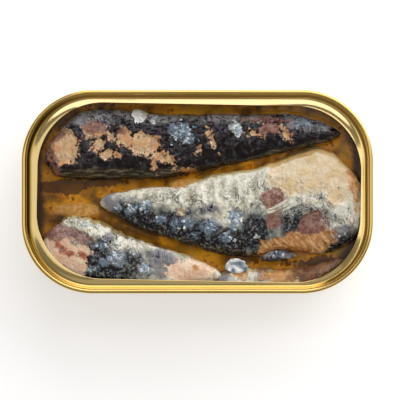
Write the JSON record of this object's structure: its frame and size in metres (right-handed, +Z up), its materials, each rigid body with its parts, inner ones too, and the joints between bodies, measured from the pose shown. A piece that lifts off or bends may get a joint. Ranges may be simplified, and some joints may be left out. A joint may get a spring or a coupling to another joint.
{
  "type": "opened tin of sardines in oil",
  "caption": "Opened oblong gold-lacquered tin with rounded corners, packed with headless sardines in oil; the peel-off lid is gone.",
  "frame": {"origin": "middle of the tin's foot, on the surface it stands on", "axes": "+X along the tin, towards the head end of the middle sardine; +Y across it, towards the dark back sardine; +Z up out of the opening"},
  "size_m": [0.105, 0.0608, 0.028],
  "materials": {
    "gold_tinplate": "drawn tinplate with clear gold lacquer, glossy",
    "gold_rim": "rolled tinplate seam and chuck wall with gold lacquer, mirror-like",
    "dark_sardine": "wet blue-black back skin with pale flesh where it is torn",
    "silver_sardine": "wet wrinkled silver skin over brown and peach flesh",
    "mottled_sardine": "wet mottled silver, dark and pink skin with bare flesh",
    "sunk_sardine": "skin and flesh just under the oil",
    "broken_flesh": "dark silvery scrap of fish",
    "loose_skin": "bright silver flake of skin",
    "oil": "clear amber oil with a wet, level surface"
  },
  "bodies": {
    "root": {"tin_body": "gold_tinplate", "lid_ring": "gold_rim", "sardine_back": "dark_sardine", "sardine_middle": "silver_sardine", "sardine_front": "mottled_sardine", "sardine_lower": "sunk_sardine", "broken_piece": "broken_flesh", "skin_flake": "loose_skin", "oil": "oil"}
  },
  "joints": []
}
